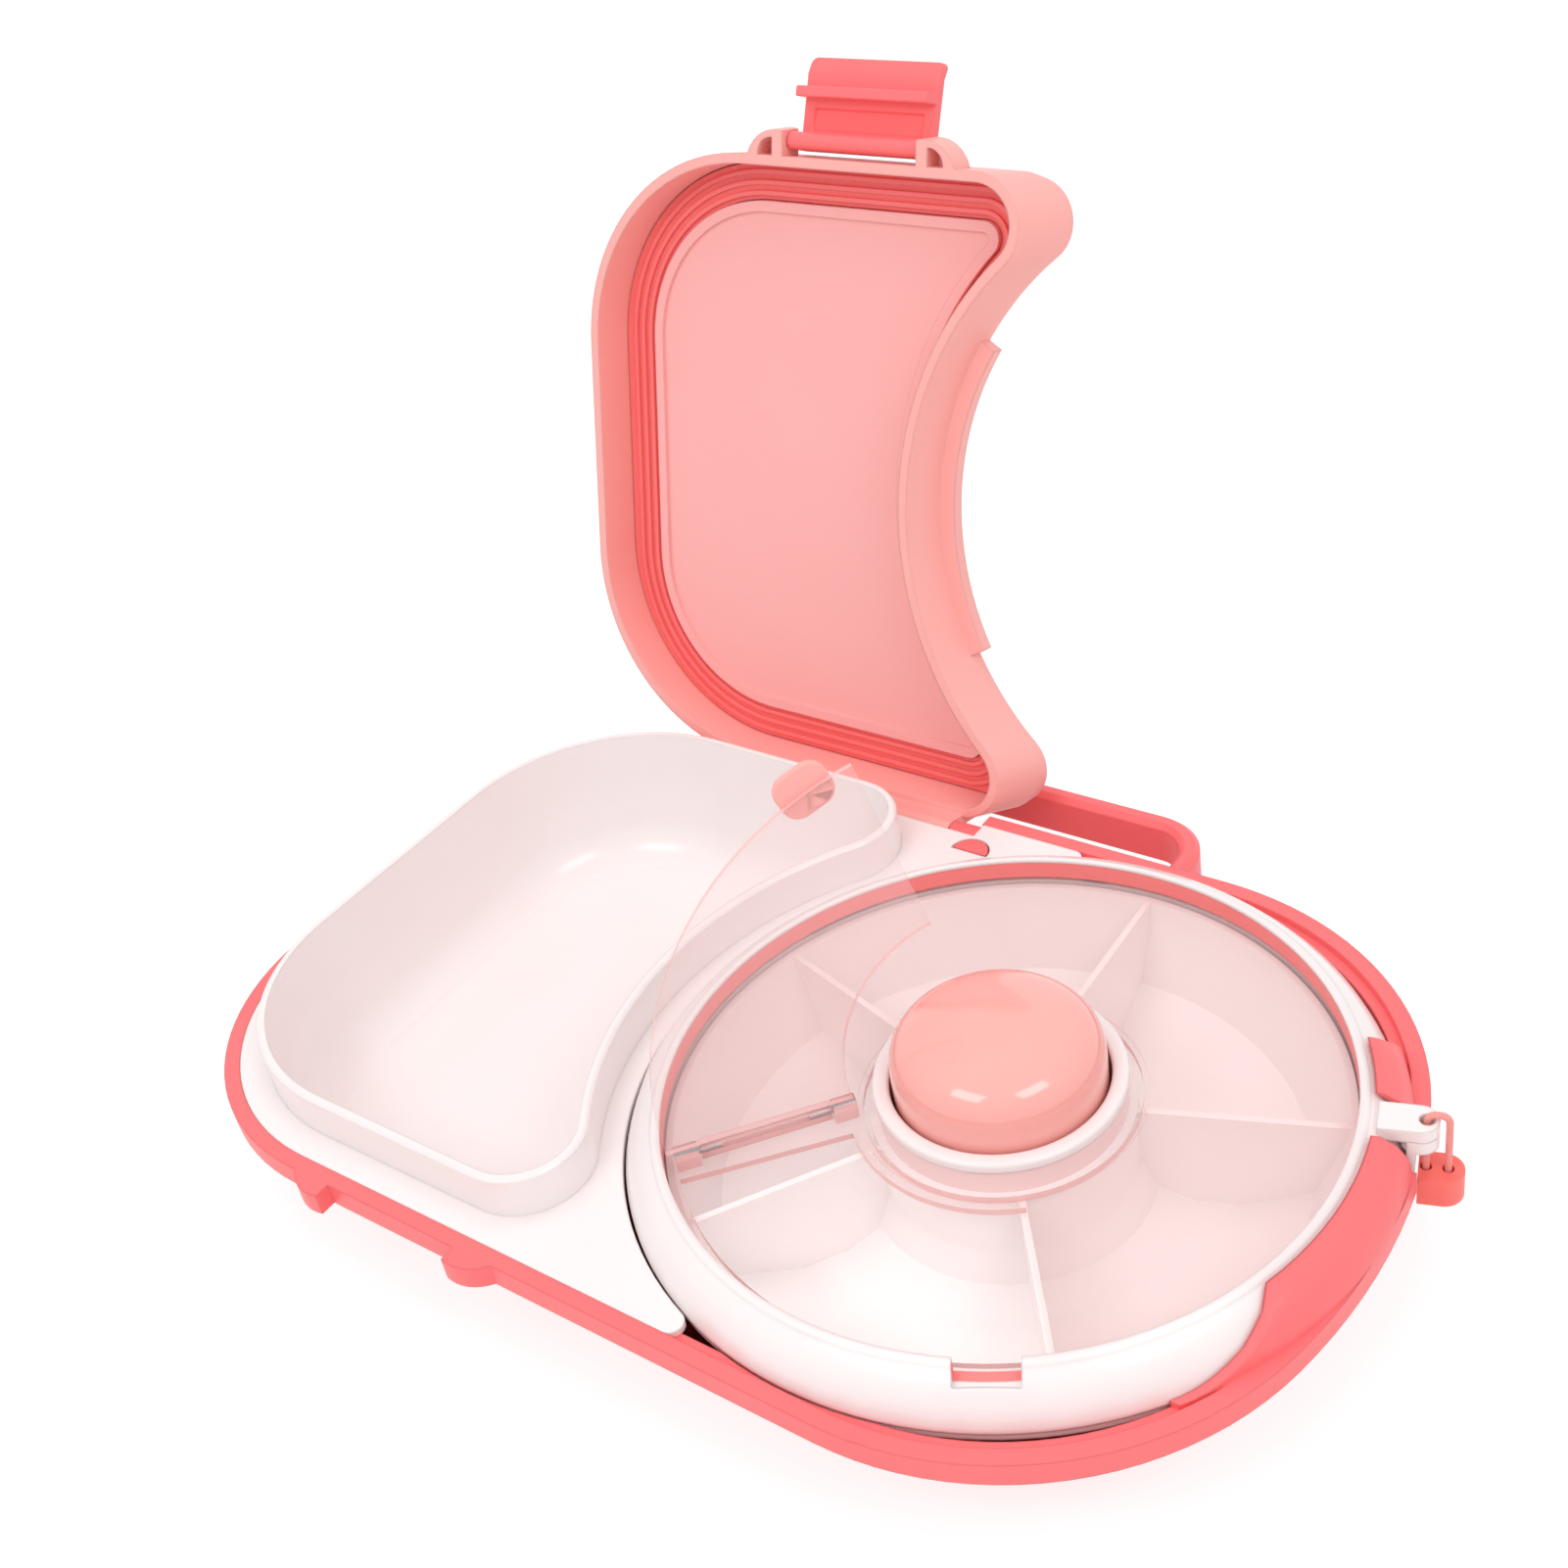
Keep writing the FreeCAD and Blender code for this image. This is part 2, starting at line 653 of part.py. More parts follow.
def knuckle(start):
    barrel = rod(start, start + KNUCKLE_L, HINGE_Y, HINGE_Z, KNUCKLE_R)
    foot = POCKET_FLOOR - POCKET_PLATE
    web = box(start, start + KNUCKLE_L, HINGE_Y - KNUCKLE_R, HINGE_Y + KNUCKLE_R, foot, HINGE_Z)
    return barrel.fuse(web)


def knuckle_starts():
    gap = FIT
    left = HINGE_MID - BARREL_L / 2 - gap - KNUCKLE_L
    right = HINGE_MID + BARREL_L / 2 + gap
    return [left, right]


def base_tray():
    body = tray_shell().fuse([handle(), keeper(-1), keeper(1)])
    body = body.cut(tray_cavity())
    body = body.fuse([hinge_block(), half_post(0, RIM_TOP)])
    body = body.cut(hinge_pocket())
    body = body.fuse([knuckle(start) for start in knuckle_starts()])
    body = body.cut(spinner_room()).fuse(cowl())
    body = body.cut(radial_box(LUG_ANGLE, RING_IN_R, FAR, SLOT_W, SKIRT, LID_TOP))
    return body.cut(rod(-FAR, 0, HINGE_Y, HINGE_Z, PIN_R)).removeSplitter()


def lid_hinge_pin():
    left, right = knuckle_starts()
    return rod(left, right + KNUCKLE_L, HINGE_Y, HINGE_Z, PIN_R)


# Bento insert
def bento_loft(insets, levels):
    return Part.makeLoft([bento_wire(g, z) for g, z in zip(insets, levels)], True, True)


def bento_insert():
    flange = prism(flange_wire(LEDGE_TOP), FLANGE_T)
    edge_z = BENTO_RIM - BENTO_EDGE
    wall = prism(bento_wire(BENTO_WALL_IN, LEDGE_TOP), edge_z - LEDGE_TOP)
    edge = bento_loft([BENTO_WALL_IN, BENTO_WALL_IN + BENTO_EDGE], [edge_z, BENTO_RIM])
    basin = bento_loft(BASIN_OUT_IN, BASIN_OUT_Z)
    room = bento_loft(BASIN_IN_IN, BASIN_IN_Z)
    body = flange.fuse([wall, edge, basin]).cut(room)
    rear = POCKET_FRONT + POCKET_CUT
    back = box(POCKET_LEFT - FIT, POCKET_RIGHT + FIT, POCKET_FRONT, rear, 0, LEDGE_TOP + FLANGE_T)
    return body.cut(back).cut(half_post(FIT, LID_TOP)).removeSplitter()


# Lid, built closed and then turned open
def ear_shape(x_in, x_out, reach, root, z0, height):
    bow = vec(x_in + EAR_BOW_SHARE * (x_out - x_in), -root - EAR_BOW_SHARE * (reach - root), z0)
    edge = Part.Arc(vec(x_in, -reach, z0), bow, vec(x_out, -root, z0)).toShape()
    back = -root + LID_WALL / 2
    rest = [vec(x_out, -root, z0), vec(x_out, back, z0), vec(x_in, back, z0), vec(x_in, -reach, z0)]
    return prism(join([edge] + Part.makePolygon(rest).Edges), height)


def ear(side):
    x_in = LATCH_MID + side * EAR_IN
    x_out = LATCH_MID + side * EAR_OUT
    solid = ear_shape(x_in, x_out, EAR_REACH, LID_HALF, LID_RIM, EAR_H)
    inner = x_in + side * EAR_WALL * 2
    outer = x_out - side * EAR_WALL * 2
    hollow = ear_shape(inner, outer, EAR_REACH - EAR_WALL, LID_HALF, LID_RIM, EAR_H - EAR_WALL)
    room = box(min(inner, x_out), max(inner, x_out), -LID_HALF, 0, LID_RIM, LID_TOP)
    return solid.cut(hollow.cut(room))


def lid_lip():
    z0 = LIP_TOP - LIP_T
    return sector(LIP_R, LIP_ROOT_R, 180 - LIP_MID_ANGLE, 180 + LIP_MID_ANGLE, z0, LIP_TOP)


def lid_body():
    knee = LID_TOP - LID_ROUND
    middle = knee + (LID_TOP - knee) * (1 - LID_ROUND_MID_SHARE)
    levels = [LID_RIM, knee, middle, LID_TOP]
    insets = [0, LID_LEAN, LID_LEAN + LID_ROUND * LID_ROUND_MID_SHARE, LID_LEAN + LID_ROUND]
    return Part.makeLoft([lid_wire(g, z) for g, z in zip(insets, levels)], True, True)


def lid_room():
    ceiling = LID_TOP - LID_ROOF
    low = lid_wire(LID_WALL, LID_RIM)
    high = lid_wire(LID_WALL + LID_LEAN, ceiling)
    return Part.makeLoft([low, high], True, True)


def lid_strap():
    x0 = HINGE_MID - BARREL_L / 2
    x1 = HINGE_MID + BARREL_L / 2
    strap = box(x0, x1, HINGE_Y - BARREL_R, HINGE_Y - BARREL_R + STRAP_T, HINGE_Z, STRAP_TOP)
    return strap.fuse(rod(x0, x1, HINGE_Y, HINGE_Z, BARREL_R))


def lid_shell():
    body = lid_body().fuse([lid_lip(), lid_strap(), ear(-1), ear(1)])
    body = body.cut(lid_room())
    body = body.cut(rod(-FAR, 0, HINGE_Y, HINGE_Z, PIN_R + RUN_GAP))
    return body.cut(latch_pin()).removeSplitter()


def latch_pin():
    half = EAR_IN + EAR_WALL + LATCH_PIN_END
    return rod(LATCH_MID - half, LATCH_MID + half, PIVOT_Y, PIVOT_Z, LATCH_PIN_R)


def gasket_outer(z):
    return lid_wire(LID_WALL + LID_LEAN + GASKET_GAP, z)


def lid_gasket():
    ceiling = LID_TOP - LID_ROOF
    base = ceiling - GASKET_T
    inner = panel_wire(GASKET_GAP, base)
    body = prism(gasket_outer(base), GASKET_T).cut(prism(inner, GASKET_T))
    for i in range(RIDGES):
        near = RIDGE_STEP * (i + 1 / 2)
        out = prism(panel_wire(near + RIDGE_W, base - RIDGE_H), RIDGE_H)
        body = body.fuse(out.cut(prism(panel_wire(near, base - RIDGE_H), RIDGE_H)))
    return body.removeSplitter()


def lid_inner_panel():
    ceiling = LID_TOP - LID_ROOF
    base = ceiling - PANEL_T
    plate = prism(panel_wire(0, base), PANEL_T)
    foot = base - BEAD_H
    bead = prism(panel_wire(0, foot), BEAD_H).cut(prism(panel_wire(-BEAD_W, foot), BEAD_H))
    return plate.fuse(bead).removeSplitter()


def latch():
    ledge_end = LATCH_LEDGE + LATCH_LEDGE_T
    outer = LATCH_IN + LATCH_T
    lip = LATCH_L - LATCH_LIP_L
    points = [(-LATCH_BARREL_R, LATCH_IN), (LATCH_LEDGE, LATCH_IN), (LATCH_LEDGE, LATCH_IN - LATCH_HOOK)]
    points += [(ledge_end, LATCH_IN - LATCH_HOOK), (ledge_end, LATCH_IN), (lip, LATCH_IN)]
    points += [(LATCH_L, LATCH_IN + LATCH_LIP), (LATCH_L, outer + LATCH_LIP), (lip, outer)]
    points += [(-LATCH_BARREL_R, outer)]
    x0 = LATCH_MID - LATCH_W / 2
    path = [vec(x0, PIVOT_Y - w, PIVOT_Z - u) for u, w in points]
    plate = Part.Face(Part.makePolygon(path + path[:1])).extrude(vec(LATCH_W, 0, 0))
    face = PIVOT_Y - LATCH_IN
    neck = box(x0, x0 + LATCH_W, face, PIVOT_Y, PIVOT_Z - LATCH_BARREL_R, PIVOT_Z + LATCH_BARREL_R)
    body = plate.fuse([neck, rod(x0, x0 + LATCH_W, PIVOT_Y, PIVOT_Z, LATCH_BARREL_R)])
    top = PIVOT_Z - RECESS_AT
    half = RECESS_W / 2
    recess = box(LATCH_MID - half, LATCH_MID + half, face - RECESS_D, face, top - RECESS_L, top)
    body = body.cut(recess).cut(rod(-FAR, 0, PIVOT_Y, PIVOT_Z, LATCH_PIN_R + RUN_GAP)).removeSplitter()
    end = PIVOT_Z - LATCH_L + RUN_GAP
    tips = [e for e in body.Edges if e.BoundBox.ZMax < end and e.BoundBox.XLength < RUN_GAP]
    return body.makeFillet(LATCH_TIP_R, tips)


def opened(shape):
    shape.rotate(vec(0, HINGE_Y, HINGE_Z), EAST, -LID_OPEN)
    return shape


def latch_opened(shape):
    shape.rotate(vec(0, PIVOT_Y, PIVOT_Z), EAST, -LATCH_SWING)
    return opened(shape)


# Spinner
def notch_cut():
    return radial_box(NOTCH_ANGLE, RING_IN_R - RING_EDGE, NOTCH_R, NOTCH_W, NOTCH_FLOOR, LID_TOP)


def spinner_bezel():
    low = RING_BOTTOM + RING_SKIRT_H
    middle = (RING_BULGE_R, RING_BULGE_Z)
    slope = bow((RING_IN_R + RING_EDGE, RING_TOP), middle, (RING_OUT_R, low), SLOPE_STEPS)
    seat = COVER_TOP - COVER_T
    lip = RING_TOP - RING_LIP_T
    points = slope + [(RING_OUT_R, RING_BOTTOM), (SEAT_LIP_R, RING_BOTTOM), (SEAT_LIP_R, seat)]
    points += [(SEAT_R, seat), (SEAT_R, lip), (RING_IN_R, lip), (RING_IN_R, RING_TOP - RING_EDGE / 2)]
    ring = revolve(profile(points))
    lug = lug_half(LUG_ROOT_R, RING_TOP - LUG_HALF_T)
    return ring.fuse(lug).cut(notch_cut()).removeSplitter()


def lug_half(root, z0):
    plate = radial_box(LUG_ANGLE, root, LUG_R - LUG_W / 2, LUG_W, z0, z0 + LUG_HALF_T)
    tip = on_circle(0, 0, LUG_R - LUG_W / 2, LUG_ANGLE, z0)
    body = plate.fuse(Part.makeCylinder(LUG_W / 2, LUG_HALF_T, tip))
    hole = on_circle(0, 0, LUG_HOLE_AT, LUG_ANGLE, z0)
    return body.cut(Part.makeCylinder(LUG_HOLE_R, LUG_HALF_T, hole))


def spinner_bowl():
    flange = RING_BOTTOM - BOWL_FLANGE_T
    foot_in = BOWL_FOOT_R - BOWL_FOOT_W
    mouth = BOWL_TOP_R - BOWL_WALL
    outer = [(POST_IN_R, BOWL_BOTTOM), (foot_in, BOWL_BOTTOM), (foot_in, FLOOR), (BOWL_FOOT_R, FLOOR)]
    outer += [(BOWL_FOOT_R, BOWL_BOTTOM), (BOWL_FLOOR_R, BOWL_BOTTOM), (BOWL_TOP_R, flange)]
    outer += [(BOWL_FLANGE_R, flange), (BOWL_FLANGE_R, RING_BOTTOM), (mouth, RING_BOTTOM)]
    inner = [(mouth, flange), (BOWL_FLOOR_R - BOWL_WALL, BOWL_FLOOR), (POST_OUT_R, BOWL_FLOOR)]
    inner += [(POST_OUT_R, POST_TOP), (POST_IN_R, POST_TOP)]
    body = revolve(profile(outer + inner))
    web_r = RING_OUT_R + FIT
    top = RING_TOP - LUG_HALF_T
    neck = radial_box(LUG_ANGLE, BOWL_TOP_R, web_r + LUG_WEB_T, LUG_W, flange, RING_BOTTOM - RUN_GAP)
    web = radial_box(LUG_ANGLE, web_r, web_r + LUG_WEB_T, LUG_W, flange, top)
    return body.fuse([neck, web, lug_half(web_r, top - LUG_HALF_T)]).removeSplitter()


def cover_seal():
    ring = disc(RING_IN_R + RUN_GAP, SEAT_R, COVER_TOP, RING_TOP - RING_LIP_T)
    return ring.cut(notch_cut())


def to_spinner(shape):
    turn = math.radians(FLAP_TURN)
    shape.rotate(ORIGIN, UP, FLAP_TURN)
    shape.translate(vec(-FLAP_OFF * math.sin(turn), FLAP_OFF * math.cos(turn), 0))
    return shape


def socket(start):
    barrel = rod(start, start + SOCKET_L, 0, FLAP_AXIS_Z, FLAP_BARREL_R)
    block = box(start, start + SOCKET_L, -FLAP_BARREL_R, FLAP_BARREL_R, COVER_TOP, FLAP_AXIS_Z)
    return to_spinner(barrel.fuse(block))


def flap_pins():
    length = SOCKET_L + SOCKET_L
    pins = [rod(FLAP_S_OUT, FLAP_S_OUT + length, 0, FLAP_AXIS_Z, FLAP_PIN_R)]
    pins.append(rod(FLAP_S_IN - length, FLAP_S_IN, 0, FLAP_AXIS_Z, FLAP_PIN_R))
    return to_spinner(Part.makeCompound(pins))


def clear_cover():
    plate = disc(HOLE_R, SEAT_R - RUN_GAP, COVER_TOP - COVER_T, COVER_TOP)
    body = plate.fuse(disc(HOLE_R, HOLE_R + FLAP_BEAD, COVER_TOP, COVER_TOP + FLAP_LIFT / 2))
    body = body.cut(sector(OPEN_IN_R, OPEN_OUT_R, OPEN_FROM, OPEN_TO, COVER_TOP - COVER_T, COVER_TOP))
    body = body.fuse([socket(FLAP_S_OUT), socket(FLAP_S_IN - SOCKET_L)])
    bore = to_spinner(rod(FLAP_S_OUT, FLAP_S_IN, 0, FLAP_AXIS_Z, FLAP_PIN_R))
    return body.cut(bore).removeSplitter()


def flap_closed():
    z0 = COVER_TOP + FLAP_LIFT
    ring = disc(FLAP_IN_R, FLAP_OUT_R, z0, z0 + FLAP_T)
    turn = math.radians(FLAP_TURN)
    along = vec(math.cos(turn), math.sin(turn), 0)
    across = vec(-math.sin(turn), math.cos(turn), 0)
    free = on_circle(0, 0, FAR, FLAP_FREE, z0)
    hinge = across * FLAP_OFF + vec(0, 0, z0)
    corners = [vec(0, 0, z0), free, free - along * FAR, hinge - along * FAR, hinge, vec(0, 0, z0)]
    plate = ring.common(prism(Part.makePolygon(corners), FLAP_T))
    start = FLAP_S_OUT + SOCKET_L + FIT
    end = FLAP_S_IN - SOCKET_L - FIT
    reach = FLAP_BARREL_R + FIT
    for near, far in ((FLAP_S_OUT - SOCKET_L, start), (end, FLAP_S_IN + SOCKET_L)):
        plate = plate.cut(to_spinner(box(near, far, -reach, reach, z0, LID_TOP)))
    barrel = to_spinner(rod(start, end, 0, FLAP_AXIS_Z, FLAP_BARREL_R))
    bore = to_spinner(rod(FLAP_S_OUT, FLAP_S_IN, 0, FLAP_AXIS_Z, FLAP_PIN_R + RUN_GAP))
    return plate.fuse(barrel).cut(bore).removeSplitter()


def tab_closed():
    z0 = COVER_TOP + FLAP_LIFT + FLAP_T
    return radial_box(NOTCH_ANGLE, TAB_IN_R, TAB_OUT_R, TAB_W, z0, z0 + TAB_T)


def flap_opened(shape):
    turn = math.radians(FLAP_TURN)
    point = vec(-FLAP_OFF * math.sin(turn), FLAP_OFF * math.cos(turn), FLAP_AXIS_Z)
    shape.rotate(point, vec(math.cos(turn), math.sin(turn), 0), -FLAP_OPEN)
    return shape


# Rotor and collar
def bowl_line(grow):
    in_z = ROTOR_FLOOR + ROTOR_IN_SWEEP_H
    out_z = ROTOR_FLOOR + ROTOR_OUT_SWEEP_H
    in_w = ROTOR_IN_SWEEP_W + grow
    out_w = ROTOR_OUT_SWEEP_W + grow
    inner = sweep(ROTOR_FLOOR_IN_R, in_z, in_w, ROTOR_IN_SWEEP_H + grow, 180, 270, SWEEP_STEPS)
    outer = sweep(ROTOR_FLOOR_OUT_R, out_z, out_w, ROTOR_OUT_SWEEP_H + grow, 270, 360, SWEEP_STEPS)
    return inner + outer + [(ROTOR_RIM_R + grow, ROTOR_TOP)]


def rotor_shell():
    under = ROTOR_FLOOR - ROTOR_WALL
    web = WELL_FLOOR - ROTOR_WALL
    hub = ROTOR_IN_R - ROTOR_WALL
    bore = POST_OUT_R + RUN_GAP
    skin = [(hub, under)] + [p for p in bowl_line(ROTOR_WALL) if p[0] > ROTOR_FLOOR_OUT_R - RUN_GAP]
    points = skin + bowl_line(0)[::-1]
    points += [(ROTOR_IN_R, ROTOR_TOP), (WELL_R, ROTOR_TOP), (WELL_R, WELL_FLOOR), (SLEEVE_R, WELL_FLOOR)]
    points += [(SLEEVE_R, SLEEVE_TOP), (bore, SLEEVE_TOP), (bore, under), (SLEEVE_R, under)]
    points += [(SLEEVE_R, web), (hub, web)]
    return revolve(profile(points))


def divider(angle):
    points = bowl_line(DIVIDER_SINK) + [(ROTOR_IN_R - DIVIDER_SINK, ROTOR_TOP)]
    plate = Part.Face(profile(points)).extrude(vec(0, DIVIDER_T, 0))
    plate.translate(vec(0, -DIVIDER_T / 2, 0))
    plate.rotate(ORIGIN, UP, angle)
    return plate


def compartment_rotor():
    step = 360 / DIVIDERS
    body = rotor_shell().fuse([divider(DIVIDER_FIRST + i * step) for i in range(DIVIDERS)])
    hub = ROTOR_IN_R - ROTOR_WALL
    height = WELL_FLOOR - ROTOR_WALL
    for i in range(DIVIDERS):
        foot = on_circle(0, 0, hub - GROOVE_R + GROOVE_SINK, DIVIDER_FIRST + i * step, 0)
        body = body.cut(Part.makeCylinder(GROOVE_R, height, foot))
    return body.removeSplitter()


def rotor_collar():
    round_z = COLLAR_TOP - COLLAR_ROUND
    points = sweep(COLLAR_OUT_R - COLLAR_ROUND, round_z, COLLAR_ROUND, COLLAR_ROUND, 0, 90, ROUND_STEPS)
    points += sweep(COLLAR_IN_R + COLLAR_ROUND, round_z, COLLAR_ROUND, COLLAR_ROUND, 90, 180, ROUND_STEPS)
    return revolve(profile(points + [(COLLAR_IN_R, ROTOR_TOP), (COLLAR_OUT_R, ROTOR_TOP)]))


def tooth_ring(z0, rise):
    step = 360 / TEETH
    teeth = []
    middle = (CAM_IN_R + CAM_OUT_R) / 2
    pitch = middle * math.radians(step)
    width = CAM_OUT_R - CAM_IN_R - RUN_GAP
    for i in range(TEETH):
        toe = vec(0, -pitch / 2, 0)
        corners = [toe, vec(0, pitch / 2, 0), vec(0, pitch / 2, rise), toe]
        tooth = Part.Face(Part.makePolygon(corners)).extrude(vec(width, 0, 0))
        tooth.translate(vec(middle - width / 2, 0, z0))
        tooth.rotate(ORIGIN, UP, i * step)
        teeth.append(tooth)
    return teeth


def ratchet_ring():
    top = WELL_FLOOR + RATCHET_BASE
    base = disc(CAM_IN_R, CAM_OUT_R, WELL_FLOOR, top)
    room = disc(CAM_IN_R, CAM_OUT_R, WELL_FLOOR, top + TOOTH_H)
    return base.fuse(tooth_ring(top, TOOTH_H)).common(room).removeSplitter()


# Button and what is under it
def dome(radius, height, foot):
    crown = sweep(0, BUTTON_SHOULDER, radius, height, 0, 90, DOME_STEPS)
    return revolve(profile(crown + [(0, foot), (radius, foot)]))


def spin_button():
    body = dome(BUTTON_R, BUTTON_TOP - BUTTON_SHOULDER, BUTTON_BOTTOM)
    return body.cut(disc(0, BUTTON_R - BUTTON_WALL, BUTTON_BOTTOM, pad_top()))


def pad_top():
    return BUTTON_SHOULDER + PAD_T + PAD_T


def cam_bottom():
    return WELL_FLOOR + RATCHET_BASE + TOOTH_H + TOOTH_GAP + BUTTON_TRAVEL


def button_plunger():
    top = pad_top()
    low = cam_bottom() + TOOTH_H
    stem = disc(0, STEM_R, STEM_BOTTOM, top)
    plate = disc(0, CAM_OUT_R, top - PAD_T, top)
    sleeve = disc(CAM_IN_R, CAM_OUT_R, low, top)
    body = stem.fuse([plate, sleeve])
    teeth = [t.mirror(ORIGIN, UP) for t in tooth_ring(0, TOOTH_H)]
    for tooth in teeth:
        tooth.translate(vec(0, 0, low))
    return body.fuse(teeth).common(disc(0, CAM_OUT_R, STEM_BOTTOM, top)).removeSplitter()


def wire_section(share, low, high):
    angle = 360 * COILS * share
    centre_z = low + (high - low) * share
    corners = sweep(SPRING_R, centre_z, WIRE_R, WIRE_R, 0, 360, WIRE_SIDES)
    section = Part.makePolygon([vec(r, 0, z) for r, z in corners])
    section.rotate(ORIGIN, UP, angle)
    return section


def button_spring():
    low = POST_TOP + CAP_T + WIRE_R
    high = pad_top() - PAD_T - WIRE_R
    count = COILS * COIL_STEPS
    return Part.makeLoft([wire_section(i / count, low, high) for i in range(count + 1)], True, True)


def post_cap():
    return disc(STEM_R + RUN_GAP, CAP_R, POST_TOP, POST_TOP + CAP_T)


def rotor_washer():
    return disc(POST_OUT_R + RUN_GAP, WASHER_R, BOWL_FLOOR, BOWL_FLOOR + WASHER_T)


def detent_spring():
    angle = DIVIDER_FIRST
    foot = radial_box(angle, DETENT_R - DETENT_FOOT, DETENT_R, DETENT_W, BOWL_FLOOR, BOWL_FLOOR + DETENT_T)
    leaf = radial_box(angle, DETENT_R - DETENT_T, DETENT_R, DETENT_W, BOWL_FLOOR, BOWL_FLOOR + DETENT_H)
    at = on_circle(0, 0, DETENT_R, angle, BOWL_FLOOR + DETENT_H / 2)
    nose = Part.makeCylinder(DETENT_NOSE_R, DETENT_H / 2, at)
    return foot.fuse([leaf, nose]).removeSplitter()


# Lanyard
def pull_tab():
    bottom = PULL_TOP - PULL_H
    end = PULL_OUT_R - PULL_W / 2
    body = radial_box(LUG_ANGLE, PULL_IN_R, end, PULL_W, bottom, PULL_TOP)
    body = body.fuse(Part.makeCylinder(PULL_W / 2, PULL_H, on_circle(0, 0, end, LUG_ANGLE, bottom)))
    for at in (LUG_HOLE_AT, CORD_OUT_AT):
        hole = on_circle(0, 0, at, LUG_ANGLE, bottom)
        body = body.cut(Part.makeCylinder(CORD_R + CORD_HOLE_GAP, PULL_H, hole))
    return body.removeSplitter()


def lanyard_cord():
    bottom = PULL_TOP - PULL_H - CORD_R - CORD_HOLE_GAP
    bend = CORD_BEND_SHARE * (CORD_OUT_AT - LUG_HOLE_AT)
    left = LUG_HOLE_AT
    right = CORD_OUT_AT
    corners = [(right - bend, bottom + bend, -90, 0), (right - bend, CORD_TOP - bend, 0, 90)]
    corners += [(left + bend, CORD_TOP - bend, 90, 180), (left + bend, bottom + bend, 180, 270)]
    arcs = []
    for r, z, start, end in corners:
        points = [vec(x, 0, y) for x, y in sweep(r, z, bend, bend, start, end, 2)]
        arcs.append(Part.Arc(*points).toShape())
    first = arcs[0].Vertexes[0].Point
    circle = sweep(0, 0, CORD_R, CORD_R, 0, 360, CORD_SIDES)
    ring = Part.makePolygon([first + vec(0, y, z) for y, z in circle])
    body = chain(arcs).makePipeShell([ring], True, False)
    body.rotate(ORIGIN, UP, LUG_ANGLE)
    return body


save("base_tray", base_tray())
save("lid_hinge_pin", lid_hinge_pin())
save("bento_insert", bento_insert())
save("lid_shell", opened(lid_shell()))
save("lid_gasket", opened(lid_gasket()))
save("lid_inner_panel", opened(lid_inner_panel()))
save("latch_pin", opened(latch_pin()))
save("latch", latch_opened(latch()))
save("spinner_bezel", spinner_bezel())
save("spinner_bowl", spinner_bowl())
save("cover_seal", cover_seal())
save("clear_cover", clear_cover())
save("flap_pins", flap_pins())
save("cover_flap", flap_opened(flap_closed()))
save("flap_tab", flap_opened(tab_closed()))
save("compartment_rotor", compartment_rotor())
save("rotor_collar", rotor_collar())
save("ratchet_ring", ratchet_ring())
save("spin_button", spin_button())
save("button_plunger", button_plunger())
save("button_spring", button_spring())
save("post_cap", post_cap())
save("rotor_washer", rotor_washer())
save("detent_spring", detent_spring())
save("lanyard_tab", pull_tab())
save("lanyard_cord", lanyard_cord())
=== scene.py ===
import json
import math
import bpy
from mathutils import Matrix, Vector


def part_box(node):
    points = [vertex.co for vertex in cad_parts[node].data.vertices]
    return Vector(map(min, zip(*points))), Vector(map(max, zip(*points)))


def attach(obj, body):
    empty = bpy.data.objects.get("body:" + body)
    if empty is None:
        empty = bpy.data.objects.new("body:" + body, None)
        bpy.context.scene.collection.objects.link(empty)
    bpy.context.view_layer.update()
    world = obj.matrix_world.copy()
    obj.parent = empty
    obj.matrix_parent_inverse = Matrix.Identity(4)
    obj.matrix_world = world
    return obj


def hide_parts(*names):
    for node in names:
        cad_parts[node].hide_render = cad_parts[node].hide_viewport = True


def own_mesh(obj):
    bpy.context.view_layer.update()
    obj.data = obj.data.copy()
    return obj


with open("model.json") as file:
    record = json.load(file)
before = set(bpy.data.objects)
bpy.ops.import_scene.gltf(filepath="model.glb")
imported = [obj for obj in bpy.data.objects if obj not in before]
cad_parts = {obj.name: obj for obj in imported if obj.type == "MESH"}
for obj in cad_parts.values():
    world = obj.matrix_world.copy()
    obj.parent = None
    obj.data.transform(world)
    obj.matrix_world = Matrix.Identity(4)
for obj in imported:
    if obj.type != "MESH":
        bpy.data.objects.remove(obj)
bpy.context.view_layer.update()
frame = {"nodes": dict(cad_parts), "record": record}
nodes = frame["nodes"]
bodies = frame["record"]["behaviour"]["bodies"]
slots = {part["node"]: part["material_slot"] for part in frame["record"]["subparts"]}
MM = 0.001


# Adds one node to a tree, sets its values and links its inputs
def add(tree, kind, settings=(), inputs=()):
    node = tree.nodes.new(kind)
    for name, value in dict(settings).items():
        setattr(node, name, value)
    for name, value in dict(inputs).items():
        if isinstance(value, bpy.types.NodeSocket):
            tree.links.new(value, node.inputs[name])
        else:
            node.inputs[name].default_value = value
    return node


# An sRGB colour code, turned to linear light
def linear(code):
    parts = [int(code[i:i + 2], 16) / 255 for i in (1, 3, 5)]
    curved = [c / 12.92 if c <= 0.04045 else ((c + 0.055) / 1.055) ** 2.4 for c in parts]
    return (*curved, 1.0)


# A new material: itself, its nodes, its shader, and the place on the piece that patterns follow
def new_material(name):
    material = bpy.data.materials.new(name)
    material.use_nodes = True
    tree = material.node_tree
    place = add(tree, "ShaderNodeTexCoord").outputs["Object"]
    return material, tree, tree.nodes["Principled BSDF"], place


